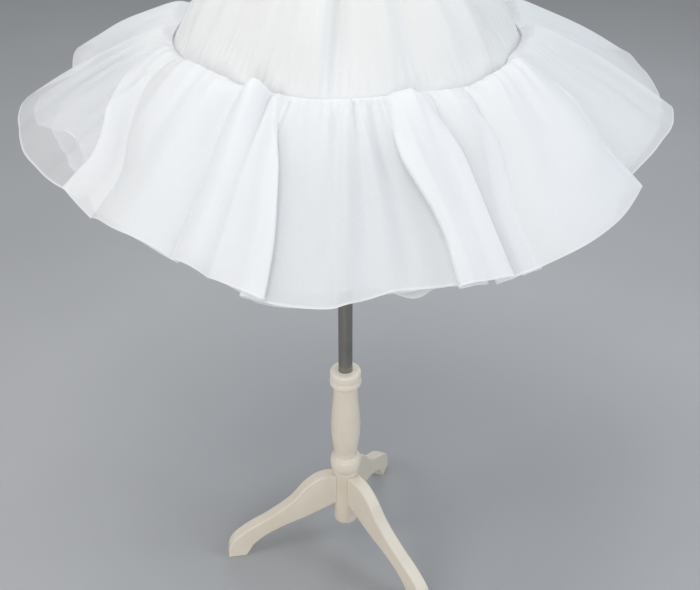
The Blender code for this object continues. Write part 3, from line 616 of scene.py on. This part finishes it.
# Creases listed one by one: (bearing at the seam, at the hem, start and end down the slant,
# half width in degrees, height); a negative height is a trough
CREASES = (
    (-92.0, -88.0, 0.00, 0.75, 2.0, 0.0030), (-84.0, -79.0, 0.10, 1.00, 1.8, -0.0035),
    (-76.0, -70.0, 0.00, 0.55, 1.5, 0.0025), (-64.0, -57.0, 0.15, 0.95, 1.2, 0.0035),
    (-52.0, -45.0, 0.00, 0.60, 2.2, 0.0030), (-44.0, -38.0, 0.00, 0.45, 1.6, -0.0035),
    (-37.0, -33.0, 0.05, 0.80, 1.8, 0.0025), (-31.0, -28.0, 0.00, 0.40, 1.3, -0.0030),
    (-24.0, -21.0, 0.00, 0.90, 2.0, 0.0045), (-18.0, -15.5, 0.05, 0.70, 1.0, -0.0025),
    (-7.0, -6.0, 0.00, 0.60, 1.2, 0.0030), (-2.0, -2.5, 0.02, 0.75, 0.9, -0.0045),
    (0.5, 0.5, 0.00, 0.95, 1.0, 0.0040), (3.0, 3.5, 0.00, 0.70, 0.8, -0.0040),
    (5.0, 6.5, 0.02, 1.00, 1.0, 0.0038), (7.5, 10.0, 0.00, 0.80, 0.9, -0.0040),
    (14.0, 17.5, 0.10, 0.95, 0.8, 0.0018), (20.0, 20.0, 0.00, 0.60, 0.9, -0.0020),
    (40.0, 33.0, 0.00, 0.50, 1.8, 0.0035), (46.0, 40.0, 0.00, 0.35, 1.5, -0.0028),
    (53.0, 46.0, 0.00, 0.60, 2.2, 0.0030), (60.0, 51.5, 0.25, 1.00, 1.1, -0.0025),
    (70.0, 66.0, 0.00, 0.55, 2.0, 0.0035), (78.0, 76.0, 0.05, 0.85, 1.6, -0.0030),
    (88.0, 88.0, 0.00, 1.00, 2.0, 0.0030), (105.0, 106.0, 0.00, 0.70, 1.6, -0.0035),
    (113.0, 114.0, 0.00, 0.95, 2.0, 0.0040), (131.0, 132.0, 0.05, 0.65, 1.5, -0.0030),
    (141.0, 140.0, 0.00, 0.90, 2.2, 0.0035), (157.0, 159.0, 0.00, 0.55, 1.2, -0.0035),
    (163.0, 166.0, 0.10, 1.00, 1.8, 0.0030), (179.0, 180.0, 0.00, 0.80, 1.0, 0.0038),
    (184.0, 184.5, 0.02, 0.65, 0.9, -0.0040), (197.0, 199.0, 0.00, 0.60, 1.8, 0.0030),
    (206.0, 207.0, 0.00, 0.95, 1.5, -0.0030), (224.0, 224.0, 0.05, 0.80, 2.0, 0.0035),
    (232.0, 230.0, 0.00, 0.50, 1.2, -0.0028), (247.0, 246.0, 0.00, 1.00, 2.2, 0.0040),
    (255.0, 253.0, 0.05, 0.70, 1.4, -0.0030),
)


def ruffle_point(bearing, reach, level, puff):
    """A ruffle's points: level is how far off the mean slant, puff the extra height."""
    start = yoke_radius(bearing, 1.0) + CLOTH + SEAM_GAP
    radius = start + (HEM_RADIUS - start) * reach
    slope = np.arctan2(SEAM_HEIGHT - HEM_HEIGHT, HEM_RADIUS - start)
    radius = radius + level * np.sin(slope)
    back = (1.0 - np.cos(np.radians(bearing))) / 2
    bow = SLANT_BOW * np.sin(math.pi * np.minimum(reach, 1.0))
    height = SEAM_HEIGHT + (HEM_HEIGHT - SEAM_HEIGHT) * reach + bow
    height = height + HEM_RISE_AT_BACK * back * reach + level * np.cos(slope) + puff
    return at_bearing(bearing, radius, height)


def puff_shape(share):
    """Rises fast from the seam to 1 and dies away down the slant."""
    peak = 0.10
    return (share / peak) * np.exp(1.0 - share / peak)


LAP_STEPS = 14  # steps round a lap, from its outer lip to its inner lip
COLUMNS_TO_A_DEGREE = 1.9


def fold_stations(lapped_folds):
    """Columns of numbers for every station round the ruffle, with its laps left out if not wanted."""
    names = (
        "share", "seam", "seam_end", "hem", "hem_end", "start", "middle", "end", "crown", "puff",
        "lap_before", "lift_before", "lap", "lift", "full_start", "full_end", "streak", "shorter",
        "turn",
    )
    stations = []
    seam, hem, reach = RUFFLE_SEAM_START, RUFFLE_HEM_START, RUFFLE_FOLDS[-1][4]
    lap_before, lift_before = RUFFLE_FOLDS[-1][7:9]
    for row in RUFFLE_FOLDS:
        seam_end, hem_end, reach_middle, reach_end, crown, puff, lap, lift = row[1:9]
        before = lap_before if lapped_folds else 0.0
        after = lap if lapped_folds else 0.0
        facts = (
            seam, seam_end, hem, hem_end, reach, reach_middle, reach_end, crown, puff,
            before, lift_before, after, lift, *row[9:13],
        )
        count = max(8, round(max(seam_end - seam, hem_end - hem) * COLUMNS_TO_A_DEGREE))
        for i in range(count + (1 if after else 0)):
            stations.append((i / count, *facts, -1.0))
        if after:
            for i in range(1, LAP_STEPS):
                stations.append((1.0, *facts, i / LAP_STEPS))
        seam, hem, lap_before, lift_before = seam_end, hem_end, lap, lift
        reach = reach_end - row[12]
    return dict(zip(names, np.array(stations).T))


# (bearing, share of the outer ply's reach) of the second ply's hem
SECOND_REACHES = (
    (-110.0, 0.97), (-90.0, 0.955), (-78.0, 0.90), (-68.0, 0.80), (-60.0, 0.76), (-54.0, 0.82),
    (-46.0, 0.95), (-20.0, 0.985), (30.0, 0.975), (60.0, 0.96), (90.0, 0.955), (125.0, 0.98),
    (180.0, 0.97), (220.0, 0.975),
)
GATHERED_STEP = 1.0  # degrees: half a pleat's width where it is gathered at the seam
LAST_UPPER_ROW = 0.986
HEM_ROWS = (0.9955, 1.0)  # the dense edge of the hem, about 1 mm deep
HEM_FULLNESS = 0.85
HEM_THINNING = 0.26  # how much of its fullness the cloth has lost at the hem


def lap_path(at, high_end, lapped, bunched):
    """Bearings round each lap, and how high the cloth lies in it, from -1 below to 1 on top.

    The cloth runs out round its outer lip, back under itself, and round its inner lip.
    """
    turn, half = at["turn"], np.abs(at["lap"]) / 2
    lip = np.degrees(at["lift"] * 0.4 / HEM_RADIUS)
    outer_lip, inner_lip = turn < 0.25, turn > 0.75
    bend = np.where(outer_lip, turn * 4, turn * 4 - 3).clip(0, 1) * math.pi
    run = np.where(outer_lip, half + lip * np.sin(bend), half * (1 - (turn - 0.25) * 4))
    run = np.where(inner_lip, -half - lip * np.sin(bend), run)
    rise = np.where(outer_lip, (1 + np.cos(bend)) / 2, 0.0)
    rise = np.where(inner_lip, -(1 - np.cos(bend)) / 2, rise)
    return high_end + run * lapped - bunched * (1 - 2 * turn), rise


def laid_folds(at, down, step_up):
    """Bearing of every point, and its level from the lifted edges of the laps."""
    share, lap, lap_before, turn = at["share"], at["lap"], at["lap_before"], at["turn"]
    shift = eased((down - 0.08) / 0.75)  # a fold's edge swings from its seam place to its hem place
    lapped = eased((down - 0.06) / 0.40)
    low_end = at["seam"] + (at["hem"] - at["seam"]) * shift
    high_end = at["seam_end"] + (at["hem_end"] - at["seam_end"]) * shift
    bunched = GATHERED_STEP * (1 - lapped)
    low = low_end + np.where(lap_before != 0, bunched - np.abs(lap_before) / 2 * lapped, 0.0)
    high = high_end + np.where(lap != 0, np.abs(lap) / 2 * lapped - bunched, 0.0)
    bearing = low + (high - low) * share
    side, side_before = np.sign(lap), np.sign(lap_before)
    spread = step_up * (0.45 + 0.55 * lapped)
    level = spread * (
        side * at["lift"] * eased((share - 0.35) / 0.65)
        - side_before * at["lift_before"] * eased((0.65 - share) / 0.65)
    )
    folded, rise = lap_path(at, high_end, lapped, bunched)
    bearing = np.where(turn > 0, folded, bearing)
    level = np.where(turn > 0, at["lift"] * spread * side * rise, level)
    return bearing, level


def turns_at_hem(bearing, level):
    """How much of the cloth has passed each station, as a share of the whole way round."""
    steps = np.hypot(np.radians(np.diff(bearing)) * HEM_RADIUS, np.diff(level))
    passed = np.concatenate([[0.0], np.cumsum(steps)])
    return passed / (passed[-1] + steps[0])


def creased(level, bearing, down):
    """The level with the listed creases."""
    for at_seam, at_hem, begin, stop, half_width, height in CREASES:
        line = at_seam + (at_hem - at_seam) * eased(down)
        offset = turn_between(bearing, line) / (half_width * (1.1 + 0.5 * down))
        window = eased((down - begin) / 0.12 + (1.0 if begin == 0.0 else 0.0))
        window = window * (1.0 - eased((down - stop) / 0.22)) * eased(down / 0.08)
        level = level + height * window * np.exp(-offset * offset)
    return level


def rippled(level, turns, down, streak, seed):
    """The level with fine gathers near the seam, streaks, and a slow wave towards the hem."""
    near_seam = np.exp(-((down / 0.15) ** 1.2)) * eased(down / 0.03)
    level = level + 0.0015 * near_seam * ripples(turns, 110, 170, 21)
    streaks = streak * eased(down / 0.1) * (0.5 + 0.5 * down)
    level = level + 0.0022 * streaks * ripples(turns, 40, 70, 22)
    return level + 0.0024 * eased((down - 0.25) / 0.75) * ripples(turns, 10, 26, 23 + seed)


def hem_reach(at, turns, bearing, lapped_folds, seed):
    """How far the hem reaches at every station; a ply without laps is the second one."""
    share, start, middle, end = at["share"], at["start"], at["middle"], at["end"]
    reach = start * (1 - share) * (1 - 2 * share) + middle * 4 * share * (1 - share)
    reach = reach + end * share * (2 * share - 1) + 0.005 * ripples(turns, 16, 44, 29 + seed)
    reach = reach - np.where(at["turn"] > 0, at["shorter"] * at["turn"], 0.0)
    if not lapped_folds:
        reach = reach * periodic(SECOND_REACHES, bearing)
    return reach


def fullness(at, down):
    """How full the cloth is: all of it at the seam, less towards the hem, dense at the edge."""
    full = at["full_start"] + (at["full_end"] - at["full_start"]) * at["share"]
    full = 1.0 - (1.0 - full) * eased(down / 0.5)
    full = full * (1.0 - HEM_THINNING * down)
    full[-len(HEM_ROWS):] = HEM_FULLNESS
    return full


def ruffle_points(rows, lapped_folds, sink, seed):
    """The ruffle's points and fullness; sink is how far this ply lies below the outer one."""
    at = fold_stations(lapped_folds)
    upper_rows = np.linspace(0.0, 1.0, rows) ** 1.12 * LAST_UPPER_ROW  # closer near the seam
    down = np.concatenate([upper_rows, HEM_ROWS])[:, None]
    step_up = eased(down / 0.05)
    bearing, level = laid_folds(at, down, step_up)
    turns = turns_at_hem(bearing[-1], level[-1])
    level = rippled(creased(level, bearing, down), turns, down, at["streak"], seed)
    reach = hem_reach(at, turns, bearing[-1], lapped_folds, seed)
    arch = np.sin(math.pi * np.clip(at["share"], 0, 1)).clip(0) ** 0.75
    standing = (at["crown"] * arch * (0.35 + 0.65 * down) - sink) * step_up
    puff = at["puff"] * puff_shape(down) * (0.25 + 0.75 * arch)
    points = ruffle_point(bearing, reach * down, level + standing, puff)
    return points, turns, down, fullness(at, down)


RUFFLE_CUT = 3.60  # round the hem, laid flat
RUFFLE_DROP = 0.270
PLIES = (
    # name, rows, lapped, depth below the outer ply, seed, thin, full, cut round, cut area
    ("outer_ruffle_cloth", 60, True, 0.0, 0, 0.42, 0.96, RUFFLE_CUT, 0.78),
    ("outer_ruffle_second_ply", 44, False, 0.0125, 0, 0.38, 0.80, 3.10, 0.66),
)
for name, rows, lapped_folds, sink, seed, thin, full, cut, area in PLIES:
    points, turns, down, body = ruffle_points(rows, lapped_folds, sink, seed)
    ply = cloth_mesh(
        name, points, np.broadcast_to(turns * RUFFLE_CUT, points.shape[:2]),
        np.broadcast_to(down * RUFFLE_DROP, points.shape[:2]),
    )
    with_body(ply, body, points.shape)
    ply.data.materials.append(tulle(name + "_tulle", thin, full, WHITE))
    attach(ply, "form")
    if lapped_folds:
        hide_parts("outer_ruffle")

# ---- Under ruffle ----
# A plainer ruffle of the same net beneath the outer one, sewn to the yoke's lower edge. Its even
# flutes hold the outer ruffle out, and its hem shows here and there below it.
# (bearing, reach) of its hem
UNDER_REACHES = (
    (-160.0, 0.960), (-130.0, 0.960), (-105.0, 0.935), (-92.0, 0.900), (-82.0, 0.850),
    (-72.0, 0.805), (-62.0, 0.790), (-56.0, 0.805), (-49.0, 0.850), (-43.0, 0.875),
    (-36.0, 0.875), (-28.0, 0.890), (-17.0, 0.925), (-8.0, 0.975), (2.0, 0.975), (5.0, 0.965),
    (8.0, 1.000), (10.9, 1.010), (13.6, 0.978), (17.0, 0.968), (20.0, 0.968),
    (24.0, 0.955), (33.0, 0.950), (38.0, 0.985), (44.0, 0.968), (51.0, 0.940),
    (58.0, 0.850), (67.0, 0.810), (75.0, 0.840), (84.0, 0.900), (98.0, 0.960),
    (120.0, 0.960), (150.0, 0.960), (175.0, 0.980),
)
UNDER_FLUTES = 17
UNDER_FLUTE_HEIGHT = 0.0035
UNDER_SEAM_DROP = 0.0012  # its top edge lies just under the yoke's lower edge
UNDER_DROP = 0.024  # how far it hangs below the outer ruffle's mean slant
UNDER_CUT = 3.0  # round the hem, laid flat
UNDER_THINNING = 0.7


def under_points(columns, rows):
    """The under ruffle from its seam down to its hem."""
    turns = np.arange(columns) / columns
    bearing = np.broadcast_to(turns * 360.0 - 180.0, (rows, columns))
    down = np.linspace(0.0, 1.0, rows)[:, None]
    reach = (periodic(UNDER_REACHES, bearing) + 0.004 * ripples(turns, 24, 60, 31)) * down
    flute = UNDER_FLUTE_HEIGHT * np.sin(np.radians(bearing * UNDER_FLUTES + 40.0))
    level = -UNDER_DROP * eased(down / 0.16) + flute * eased(down / 0.3)
    level = level + 0.0016 * eased(down / 0.3) * ripples(turns, 30, 70, 32)
    at_seam = 1.0 - eased(down / 0.12)
    inward = at_bearing(bearing, -2 * (CLOTH + SEAM_GAP) * at_seam, 0.0)
    points = ruffle_point(bearing, reach, level, 0.0) + inward
    points[..., 2] -= (SEAM_OVERLAP / 2 + UNDER_SEAM_DROP * at_seam) * (1 - down)
    return points, turns, down


points, turns, down = under_points(850, 34)
under = cloth_mesh(
    "under_ruffle_cloth", points, np.broadcast_to(turns * UNDER_CUT, points.shape[:2]),
    np.broadcast_to(down * RUFFLE_DROP, points.shape[:2]),
)
body = 1.0 - UNDER_THINNING * eased(down / 0.6) * np.ones(points.shape[:2])
body[-1:] = 1.0  # the dense edge of the hem
with_body(under, body, points.shape)
under.data.materials.append(tulle("under_tulle", 0.42, 0.92, WHITE))
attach(under, "form")
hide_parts("under_ruffle")
